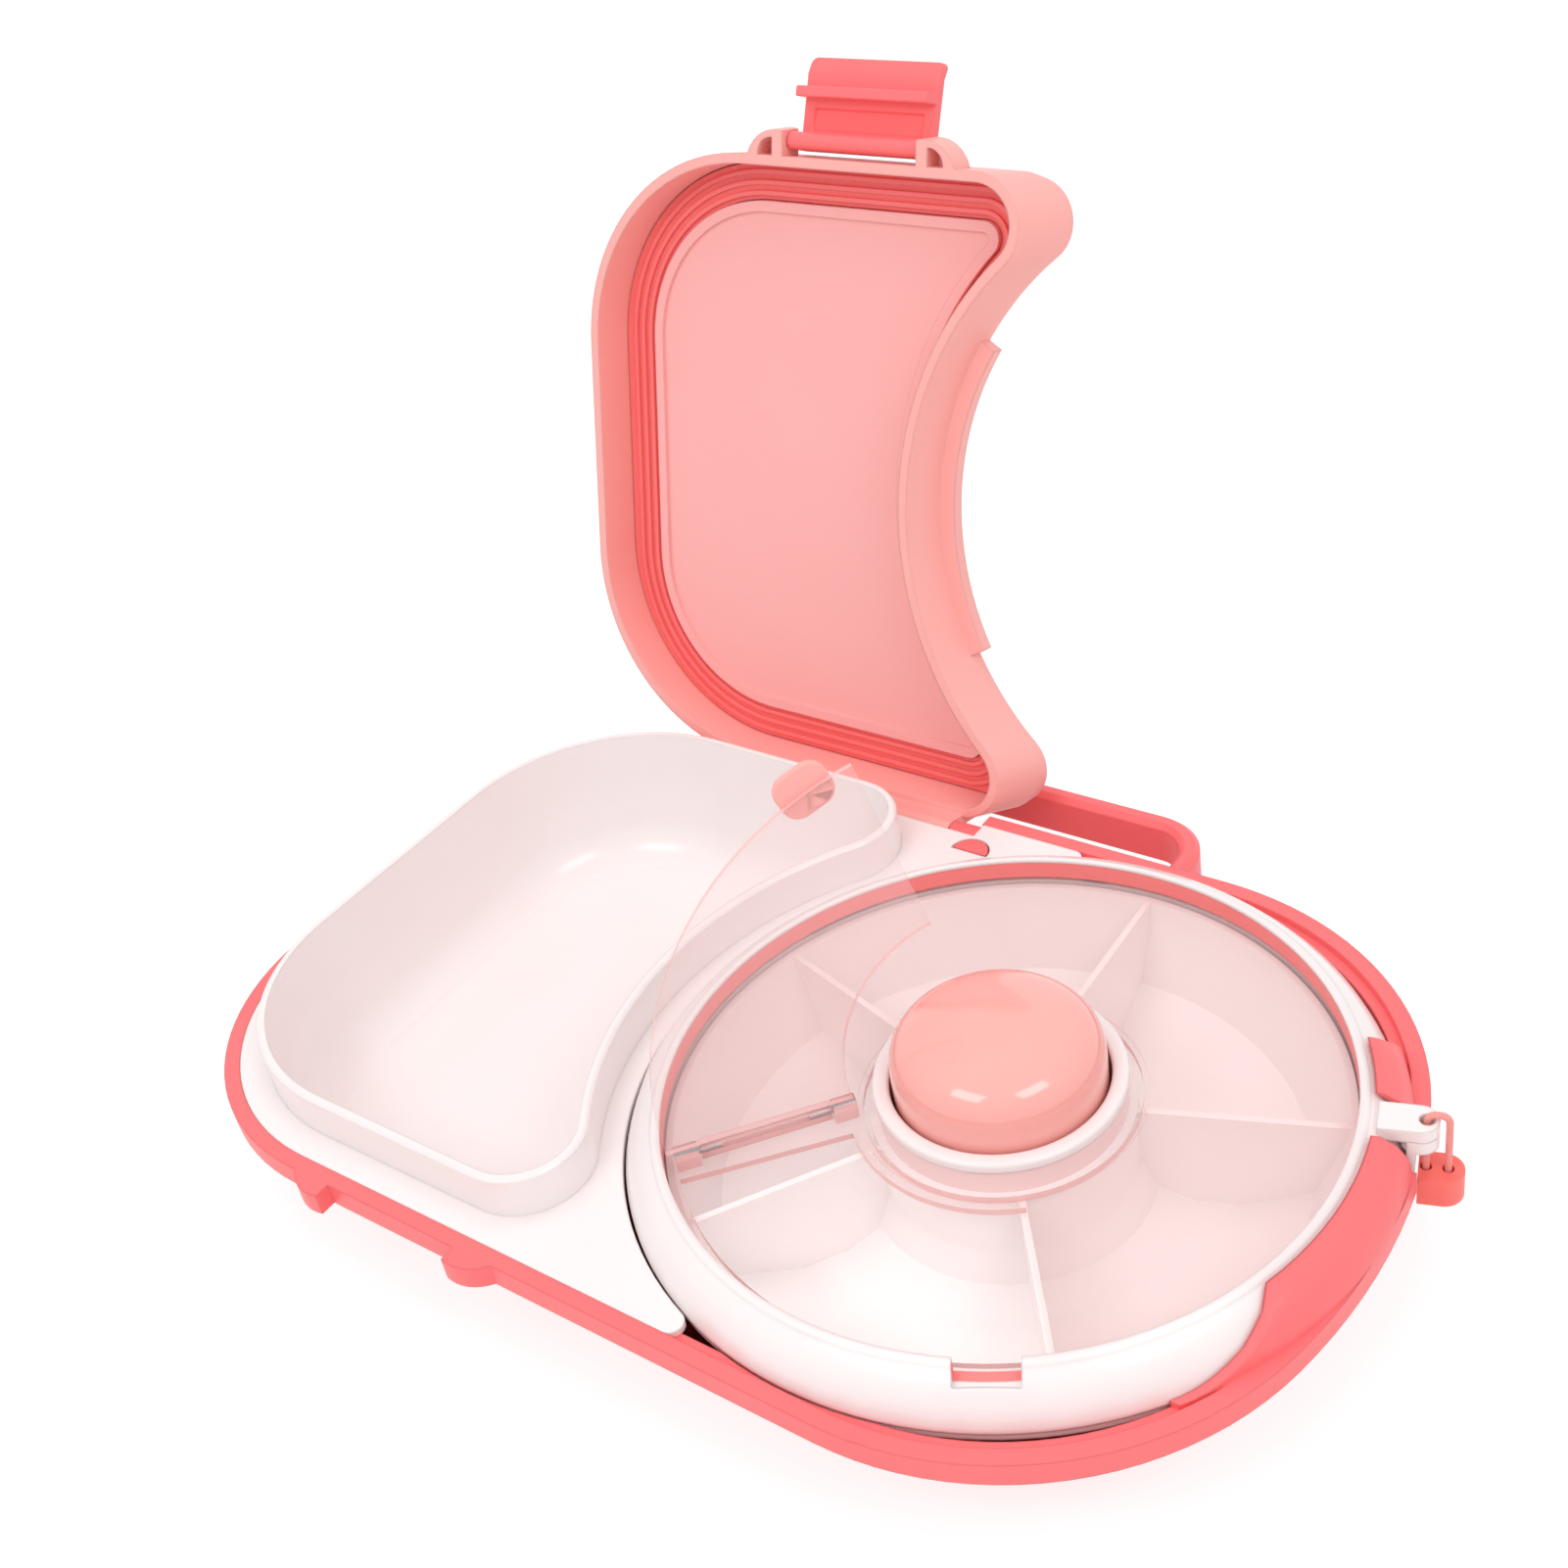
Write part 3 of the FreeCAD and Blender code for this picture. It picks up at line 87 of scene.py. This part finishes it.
# Moulded plastic and rubber: faint flow marks in colour and gloss, a fine tool grain, soft edges
FLOW_MM = 30.0
FLOW_DETAIL = 2.0
GRAIN_MM = 0.9
GRAIN_DETAIL = 3.0
GRAIN_DEPTH_MM = 0.012
GRAIN_STRENGTH = 0.3
ROUGH_SPREAD = 0.04
EDGE_SAMPLES = 6
PLASTIC_IOR = 1.49
COAT_ROUGH = 0.06


def moulded(name, colour, flow_colour, rough, edge_mm=0.0, coat=0.0, cover=1.0):
    material, tree, shader, place = new_material(name)
    flow = add(tree, "ShaderNodeTexNoise", inputs={
        "Vector": place, "Scale": 1 / (FLOW_MM * MM), "Detail": FLOW_DETAIL})
    mix = add(tree, "ShaderNodeMix", {"data_type": "RGBA"}, {
        "Factor": flow.outputs["Fac"], "A": linear(colour), "B": linear(flow_colour)})
    tree.links.new(mix.outputs["Result"], shader.inputs["Base Color"])
    grain = add(tree, "ShaderNodeTexNoise", inputs={
        "Vector": place, "Scale": 1 / (GRAIN_MM * MM), "Detail": GRAIN_DETAIL})
    bump = add(tree, "ShaderNodeBump", inputs={
        "Strength": GRAIN_STRENGTH, "Distance": GRAIN_DEPTH_MM * MM, "Height": grain.outputs["Fac"]})
    if edge_mm > 0:
        edge = add(tree, "ShaderNodeBevel", {"samples": EDGE_SAMPLES}, {"Radius": edge_mm * MM})
        tree.links.new(edge.outputs["Normal"], bump.inputs["Normal"])
    tree.links.new(bump.outputs["Normal"], shader.inputs["Normal"])
    spread = add(tree, "ShaderNodeMapRange", inputs={
        "Value": flow.outputs["Fac"], "To Min": rough - ROUGH_SPREAD, "To Max": rough + ROUGH_SPREAD})
    tree.links.new(spread.outputs["Result"], shader.inputs["Roughness"])
    shader.inputs["IOR"].default_value = PLASTIC_IOR
    shader.inputs["Alpha"].default_value = cover
    shader.inputs["Coat Weight"].default_value = coat
    shader.inputs["Coat Roughness"].default_value = COAT_ROUGH
    return material


# Drawn steel for wire and pins: bright grey, its polish a little uneven from the die
DRAW_MM = 0.5
STEEL_GREY = "#B9BCC0"
STEEL_ROUGH_LOW = 0.2
STEEL_ROUGH_HIGH = 0.4


def steel(name):
    material, tree, shader, place = new_material(name)
    draw = add(tree, "ShaderNodeTexNoise", inputs={"Vector": place, "Scale": 1 / (DRAW_MM * MM)})
    spread = add(tree, "ShaderNodeMapRange", inputs={
        "Value": draw.outputs["Fac"], "To Min": STEEL_ROUGH_LOW, "To Max": STEEL_ROUGH_HIGH})
    tree.links.new(spread.outputs["Result"], shader.inputs["Roughness"])
    shader.inputs["Metallic"].default_value = 1.0
    shader.inputs["Base Color"].default_value = linear(STEEL_GREY)
    return material


# Woven elastic: two crossing sets of threads, drawn coarser than real so that they show
THREAD_MM = 0.6
THREAD_DEPTH_MM = 0.1
THREAD_TURNS = (45, -45)
ELASTIC_ROUGH = 0.7


def woven(name, colour, painted_gap_shade):
    material, tree, shader, place = new_material(name)
    weave = []
    for turn in THREAD_TURNS:
        turned_place = add(tree, "ShaderNodeMapping", inputs={
            "Vector": place, "Rotation": (math.radians(turn), math.radians(turn), 0)})
        weave.append(add(tree, "ShaderNodeTexWave", inputs={
            "Vector": turned_place.outputs["Vector"], "Scale": 1 / (2 * THREAD_MM * MM)}))
    threads = add(tree, "ShaderNodeMath", {"operation": "MULTIPLY"}, {
        0: weave[0].outputs["Fac"], 1: weave[1].outputs["Fac"]})
    # The darker colour between the crossings is painted shade in the gaps of the weave
    mix = add(tree, "ShaderNodeMix", {"data_type": "RGBA"}, {
        "Factor": threads.outputs[0], "A": linear(painted_gap_shade), "B": linear(colour)})
    tree.links.new(mix.outputs["Result"], shader.inputs["Base Color"])
    bump = add(tree, "ShaderNodeBump", inputs={
        "Distance": THREAD_DEPTH_MM * MM, "Height": threads.outputs[0]})
    tree.links.new(bump.outputs["Normal"], shader.inputs["Normal"])
    shader.inputs["Roughness"].default_value = ELASTIC_ROUGH
    return material


finishes = {
    # Injection moulded polypropylene: satin, even colour, light catching on the rounded edges
    "tray_coral": moulded("polypropylene_coral", "#FF787A", "#FF7072", rough=0.42, edge_mm=0.8),
    "lid_salmon": moulded("polypropylene_salmon", "#FFB5AF", "#FFB0A9", rough=0.38, edge_mm=0.8),
    "panel_pink": moulded("polypropylene_pink", "#FFB9B6", "#FFB4B1", rough=0.45, edge_mm=0.5),
    # Silicone rubber: deeper colour, dull, swallows the small highlights
    "gasket_coral": moulded("silicone_coral", "#FF807E", "#FF7876", rough=0.5, edge_mm=0.4),
    "seal_coral": moulded("silicone_seal", "#FF8C8A", "#FF8482", rough=0.4, edge_mm=0.3),
    # White polypropylene from a polished tool: soft clear reflections, a little warm
    "white_plastic": moulded("polypropylene_white", "#F8F0EF", "#F6EDEC",
                             rough=0.25, edge_mm=0.8, coat=0.2),
    # Tinted clear styrene: a pale pink haze over what lies behind, sharp reflections
    "clear_plastic": moulded("styrene_clear", "#FFDCDB", "#FFD8D7", rough=0.08, cover=0.15),
    # Glossy ABS: wet-looking dome that mirrors the soft boxes
    "button_salmon": moulded("abs_salmon_gloss", "#FFB2AA", "#FFADA5", rough=0.16, coat=0.6),
    # Acetal: waxy, off-white, for the parts that rub
    "inner_plastic": moulded("acetal_white", "#F2E9E6", "#EFE5E2", rough=0.4, edge_mm=0.3),
    # Drawn steel: bright grey pins and springs
    "steel": steel("steel_drawn"),
    # Woven elastic: soft and matt, paler where the threads cross, with painted shade between them
    "lanyard_salmon": woven("elastic_salmon", "#FFB6AF", "#FF9E97"),
}
# Frosted polypropylene: milky white, with soft broad highlights
frosted = moulded("polypropylene_frosted", "#FFF9F8", "#FFF7F6", rough=0.3)
# The same plastic on the thin collar neck, where the pink of the cover gathers;
# its darker tone there is painted shade under the collar ring
neck_painted_shade = moulded("polypropylene_neck_painted_shade", "#FFE6E5", "#FFE3E2", rough=0.3)
# Thin silicone finger tab: paler than the seals, as light gets into it
tab_silicone = moulded("silicone_tab", "#FFB4AD", "#FFAEA7", rough=0.4)
# Solid silicone pull: as deep a coral as the tray, dull like the seals
pull_silicone = moulded("silicone_pull", "#FF7A71", "#FF7269", rough=0.45)
# Cut edge of the clear styrene: the tint gathers there, so it reads denser and pinker
# The denser colour is also painted sheen, standing in for the light that the cut faces catch
clear_edge_painted_sheen = moulded("styrene_edge_painted_sheen", "#F8C6C3", "#F5C0BD", rough=0.12, cover=0.85)

# Every CAD node gets the finish of its slot
for name, slot in slots.items():
    mesh = nodes[name].data
    mesh.materials.clear()
    mesh.materials.append(finishes[slot])


# Puts a new piece in the place of CAD nodes, on their body and with the given material
def stand_in(piece, material, *names):
    piece.data.materials.clear()
    piece.data.materials.append(material)
    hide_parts(*names)
    for body, members in bodies.items():
        if names[0] in members:
            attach(piece, body)
    return piece


# Adds an object to the scene
def new_object(name, data):
    made = bpy.data.objects.new(name, data)
    bpy.context.scene.collection.objects.link(made)
    return made


# Selects one piece alone, for the operators that follow
def start(piece):
    bpy.ops.object.select_all(action="DESELECT")
    bpy.context.view_layer.objects.active = piece
    piece.select_set(True)


# The direction that a piece's largest face looks
def broad_side(piece):
    return max(piece.data.polygons, key=lambda face: face.area).normal.copy()


# Shades a piece smooth up to its sharp edges, with the broad faces kept flat
SHARP = math.radians(38)


def smoothed(piece):
    start(piece)
    bpy.ops.mesh.customdata_custom_splitnormals_clear()
    bpy.ops.object.shade_smooth_by_angle(angle=SHARP)
    weigh = piece.modifiers.new("weigh", "WEIGHTED_NORMAL")
    weigh.keep_sharp = True
    bpy.ops.object.modifier_apply(modifier="weigh")


# A copy of a moulded CAD node, its loose triangles merged
MERGE_MM = 0.002


def finished(name, material=None):
    piece = nodes[name].copy()
    piece.data = nodes[name].data.copy()
    piece.name = name + "_finished"
    piece.parent = None
    bpy.context.scene.collection.objects.link(piece)
    start(piece)
    bpy.ops.object.mode_set(mode="EDIT")
    bpy.ops.mesh.select_all(action="SELECT")
    bpy.ops.mesh.remove_doubles(threshold=MERGE_MM * MM)
    bpy.ops.object.mode_set(mode="OBJECT")
    smoothed(piece)
    return stand_in(piece, material or finishes[slots[name]], name)


# A turned piece: one circle, extruded ring by ring along its outline of (radius, height) in mm.
# A ring on the axis keeps a tiny radius, and is then merged to one point.
AXIS_MM = 0.005
POLE_MERGE_MM = 4 * AXIS_MM
TURN_SEGMENTS = 160


def turned(name, outline):
    radius, height = outline[0]
    bpy.ops.object.select_all(action="DESELECT")
    bpy.ops.mesh.primitive_circle_add(
        vertices=TURN_SEGMENTS, radius=radius * MM, location=(0, 0, height * MM))
    piece = bpy.context.active_object
    piece.name = name
    bpy.ops.object.transform_apply(location=True, rotation=True, scale=True)
    bpy.ops.object.mode_set(mode="EDIT")
    bpy.ops.mesh.select_all(action="SELECT")
    for r, z in outline[1:]:
        bpy.ops.mesh.extrude_edges_move(TRANSFORM_OT_translate={"value": (0, 0, (z - height) * MM)})
        bpy.ops.transform.resize(value=(r / radius, r / radius, 1), center_override=(0, 0, 0))
        radius, height = r, z
    bpy.ops.mesh.select_all(action="SELECT")
    bpy.ops.mesh.remove_doubles(threshold=POLE_MERGE_MM * MM)
    bpy.ops.mesh.normals_make_consistent(inside=False)
    bpy.ops.object.mode_set(mode="OBJECT")
    bpy.ops.object.shade_smooth_by_angle(angle=SHARP)
    return piece


# Points of a quarter round from one outline point to another, bulging towards the corner
ROUND_STEPS = 5


def quarter(a, corner, b):
    points = []
    for i in range(ROUND_STEPS + 1):
        t = math.radians(90 * i / ROUND_STEPS)
        ka, kb = 1 - math.sin(t), 1 - math.cos(t)
        points.append(tuple(c + ka * (p - c) + kb * (q - c) for p, c, q in zip(a, corner, b)))
    return points


# The press button: a straight skirt with an open foot, under a full dome
BUTTON_R = 21.9
BUTTON_FOOT = 32.0
BUTTON_FOOT_LIP = 2.0
BUTTON_SHOULDER = 42.0
BUTTON_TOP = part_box("spin_button")[1][2] / MM
BUTTON_FULLNESS = 2.6
BUTTON_RINGS = 14


def spin_button():
    outline = [(BUTTON_R - BUTTON_FOOT_LIP, BUTTON_FOOT), (BUTTON_R, BUTTON_FOOT)]
    for i in range(BUTTON_RINGS + 1):
        t = math.radians(90 * i / BUTTON_RINGS)
        r = BUTTON_R * math.cos(t) ** (2 / BUTTON_FULLNESS)
        z = BUTTON_SHOULDER + (BUTTON_TOP - BUTTON_SHOULDER) * math.sin(t) ** (2 / BUTTON_FULLNESS)
        outline.append((max(r, AXIS_MM), z))
    return stand_in(turned("button_dome", outline), finishes["button_salmon"], "spin_button")


# The collar's white top ring, and the frosted neck that carries it
COLLAR_IN = 22.5
COLLAR_OUT = 26.0
COLLAR_NECK = 25.4
COLLAR_RING_T = 2.2
COLLAR_FOOT, COLLAR_TOP = (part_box("rotor_collar")[i][2] / MM for i in (0, 1))
COLLAR_ROUND = 0.9


def rotor_collar():
    low = COLLAR_TOP - COLLAR_ROUND
    under = COLLAR_TOP - COLLAR_RING_T
    outline = [(COLLAR_IN, under)]
    outline += quarter(
        (COLLAR_IN, low), (COLLAR_IN, COLLAR_TOP), (COLLAR_IN + COLLAR_ROUND, COLLAR_TOP))
    outline += quarter(
        (COLLAR_OUT - COLLAR_ROUND, COLLAR_TOP), (COLLAR_OUT, COLLAR_TOP), (COLLAR_OUT, low))
    outline += [(COLLAR_OUT, under), (COLLAR_IN, under)]
    stand_in(turned("collar_ring", outline), finishes["white_plastic"], "rotor_collar")
    outline = [(COLLAR_IN, COLLAR_FOOT), (COLLAR_IN, under),
               (COLLAR_NECK, under), (COLLAR_NECK, COLLAR_FOOT)]
    neck = turned("collar_neck", outline + outline[:1])
    # The neck's pinker, darker colour is partly painted shade under the ring
    neck.data.materials.append(neck_painted_shade)
    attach(neck, "rotor")


# A clear plate: its cut edges, turned from the broad faces by more than this cosine, look denser
CUT_EDGE_COSINE = 0.7


def edged(name):
    piece = finished(name)
    broad = broad_side(piece)
    # The edge colour is partly painted sheen on the cut faces
    piece.data.materials.append(clear_edge_painted_sheen)
    for face in piece.data.polygons:
        face.material_index = 1 if abs(face.normal.dot(broad)) < CUT_EDGE_COSINE else 0
    return piece


# A small solid piece: its upright corners rounded first, then all its edges eased
FLAT = math.radians(1)
UPRIGHT_COSINE = 0.9
CORNER_STEPS = 8
EASED_STEPS = 3
EASED_FROM = math.radians(40)


def softened(name, corner_mm, edge_mm, material=None):
    piece = finished(name, material)
    start(piece)
    bpy.ops.object.mode_set(mode="EDIT")
    bpy.ops.mesh.select_all(action="SELECT")
    bpy.ops.mesh.dissolve_limited(angle_limit=FLAT)
    bpy.ops.object.mode_set(mode="OBJECT")
    if corner_mm > 0:
        broad = broad_side(piece)
        points = piece.data.vertices
        bpy.ops.object.mode_set(mode="EDIT")
        bpy.ops.mesh.select_all(action="DESELECT")
        bpy.ops.mesh.select_mode(type="EDGE")
        bpy.ops.object.mode_set(mode="OBJECT")
        for edge in piece.data.edges:
            run = (points[edge.vertices[1]].co - points[edge.vertices[0]].co).normalized()
            edge.select = abs(run.dot(broad)) > UPRIGHT_COSINE
        bpy.ops.object.mode_set(mode="EDIT")
        bpy.ops.mesh.bevel(offset=corner_mm * MM, segments=CORNER_STEPS)
        bpy.ops.object.mode_set(mode="OBJECT")
    soft = piece.modifiers.new("soft", "BEVEL")
    soft.width = edge_mm * MM
    soft.segments = EASED_STEPS
    soft.limit_method = "ANGLE"
    soft.angle_limit = EASED_FROM
    bpy.ops.object.modifier_apply(modifier="soft")
    smoothed(piece)
    return piece


def button_spring():
    piece = finished("button_spring")
    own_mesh(piece)


# The lanyard: one thin elastic loop through the lug and the pull, as (reach, height) in mm
LUG_ANGLE = math.radians(17.6)
CORD_R = 0.7
CORD_ROUND_STEPS = 5
CORD_RUN_STEPS = 12
CORD_ROUTE = [(85.3, 17.9), (86.6, 17.9), (86.6, 22.0), (86.6, 35.3), (86.6, 39.4),
              (82.5, 39.4), (82.5, 35.3), (82.5, 22.0), (82.5, 17.9), (83.8, 17.9)]
PULL_EDGE_MM = 1.6


def lanyard():
    line = bpy.data.curves.new("lanyard_loop", "CURVE")
    line.dimensions = "3D"
    line.bevel_depth = CORD_R * MM
    line.bevel_resolution = CORD_ROUND_STEPS
    line.use_fill_caps = True
    spline = line.splines.new("NURBS")
    spline.points.add(len(CORD_ROUTE) - 1)
    route = [Vector((r * math.cos(LUG_ANGLE), r * math.sin(LUG_ANGLE), z)) * MM for r, z in CORD_ROUTE]
    for point, place in zip(spline.points, route):
        point.co = (*place, 1)
    spline.order_u = 3
    spline.use_endpoint_u = True
    line.resolution_u = CORD_RUN_STEPS
    cord = new_object("lanyard_loop", line)
    pull = softened("lanyard_tab", corner_mm=0, edge_mm=PULL_EDGE_MM, material=pull_silicone)
    stand_in(cord, finishes["lanyard_salmon"], "lanyard_cord")


spin_button()
rotor_collar()
for name in ("base_tray", "bento_insert", "lid_shell", "spinner_bezel", "spinner_bowl", "lid_gasket",
             "lid_inner_panel", "cover_seal"):
    finished(name)
finished("compartment_rotor", frosted)
edged("clear_cover")
edged("cover_flap")
softened("flap_tab", corner_mm=3.6, edge_mm=0.5, material=tab_silicone)
softened("latch", corner_mm=0, edge_mm=0.5)
button_spring()
lanyard()

# Camera of the photograph, fitted on the object's own edges
IMAGE_PX = 1601
FOCAL_PX = 2078.91
SENSOR_MM = 36.0
NEAREST = 0.01
EYE = Vector((0.17688, -0.24460, 0.32618))
AHEAD = Vector((-0.54845, 0.61214, -0.56963))
UP = Vector((-0.23030, 0.54430, 0.80666))
camera_data = bpy.data.cameras.new("photo_camera")
camera_data.sensor_width = SENSOR_MM
camera_data.lens = FOCAL_PX / IMAGE_PX * SENSOR_MM
camera_data.clip_start = NEAREST
camera = new_object("photo_camera", camera_data)
back = -AHEAD.normalized()
side = UP.cross(back).normalized()
top = back.cross(side)
camera.matrix_world = Matrix.Translation(EYE) @ Matrix((side, top, back)).transposed().to_4x4()
bpy.context.scene.camera = camera

# Studio: soft boxes over a pale floor, under a white world
BOX_DEPTH_SHARE = 0.6


def soft_box(name, azimuth, height, reach, width, power, mirrored=True):
    lamp = bpy.data.lights.new(name, "AREA")
    lamp.shape = "RECTANGLE"
    lamp.size = width
    lamp.size_y = width * BOX_DEPTH_SHARE
    lamp.energy = power
    holder = new_object(name, lamp)
    holder.visible_glossy = mirrored
    a, h = math.radians(azimuth), math.radians(height)
    place = Vector((math.cos(a) * math.cos(h), math.sin(a) * math.cos(h), math.sin(h))) * reach
    holder.location = place
    holder.rotation_euler = (-place).to_track_quat("-Z", "Y").to_euler()


soft_box("soft_box_left", azimuth=-100, height=52, reach=1.0, width=0.45, power=1.55)
soft_box("soft_box_right", azimuth=-14, height=52, reach=1.0, width=0.45, power=1.55)
soft_box("top_box", azimuth=150, height=75, reach=1.2, width=0.8, power=2.5, mirrored=False)


# 1 for the rays that show the background: from the camera, mirrored, or through something clear
def seen_ray(tree):
    path = add(tree, "ShaderNodeLightPath")
    straight = add(tree, "ShaderNodeMath", {"operation": "MAXIMUM"}, {
        0: path.outputs["Is Camera Ray"], 1: path.outputs["Is Glossy Ray"]})
    through = add(tree, "ShaderNodeMath", {"operation": "MAXIMUM"}, {
        0: straight.outputs[0], 1: path.outputs["Is Transmission Ray"]})
    return through.outputs[0]


# White paper: where it is seen it glows to nearly white, and keeps the object's shadow
FLOOR_SIZE = 6.0
FLOOR_DROP_MM = 0.5
PAPER_GREY = 0.9
PAPER_ROUGH = 0.9
SHADOW_GREY = 0.4
PAPER_GLOW = 0.74


def studio_floor():
    bpy.ops.object.select_all(action="DESELECT")
    bpy.ops.mesh.primitive_plane_add(size=FLOOR_SIZE, location=(0, 0, -FLOOR_DROP_MM * MM))
    floor = bpy.context.active_object
    floor.name = "studio_floor"
    material, tree, shader, _ = new_material("studio_paper")
    shader.inputs["Base Color"].default_value = (PAPER_GREY, PAPER_GREY, PAPER_GREY, 1)
    shader.inputs["Roughness"].default_value = PAPER_ROUGH
    shade = add(tree, "ShaderNodeBsdfDiffuse", inputs={
        "Color": (SHADOW_GREY, SHADOW_GREY, SHADOW_GREY, 1)})
    glow = add(tree, "ShaderNodeEmission", inputs={"Strength": PAPER_GLOW})
    lit = add(tree, "ShaderNodeAddShader", inputs={0: shade.outputs[0], 1: glow.outputs[0]})
    mix = add(tree, "ShaderNodeMixShader", inputs={
        0: seen_ray(tree), 1: shader.outputs[0], 2: lit.outputs[0]})
    tree.links.new(mix.outputs[0], tree.nodes["Material Output"].inputs["Surface"])
    floor.data.materials.append(material)


# The world lights the object at a plain level, and is pure white where it is seen
WORLD_LIGHT = 0.71
WORLD_WHITE = 1.0


def white_world():
    world = bpy.data.worlds.new("studio_white")
    bpy.context.scene.world = world
    world.use_nodes = True
    sky = world.node_tree
    level = add(sky, "ShaderNodeMapRange", inputs={
        "Value": seen_ray(sky), "To Min": WORLD_LIGHT, "To Max": WORLD_WHITE})
    sky.links.new(level.outputs["Result"], sky.nodes["Background"].inputs["Strength"])
    sky.nodes["Background"].inputs["Color"].default_value = (1, 1, 1, 1)


studio_floor()
white_world()
bpy.context.scene.view_settings.view_transform = "Standard"
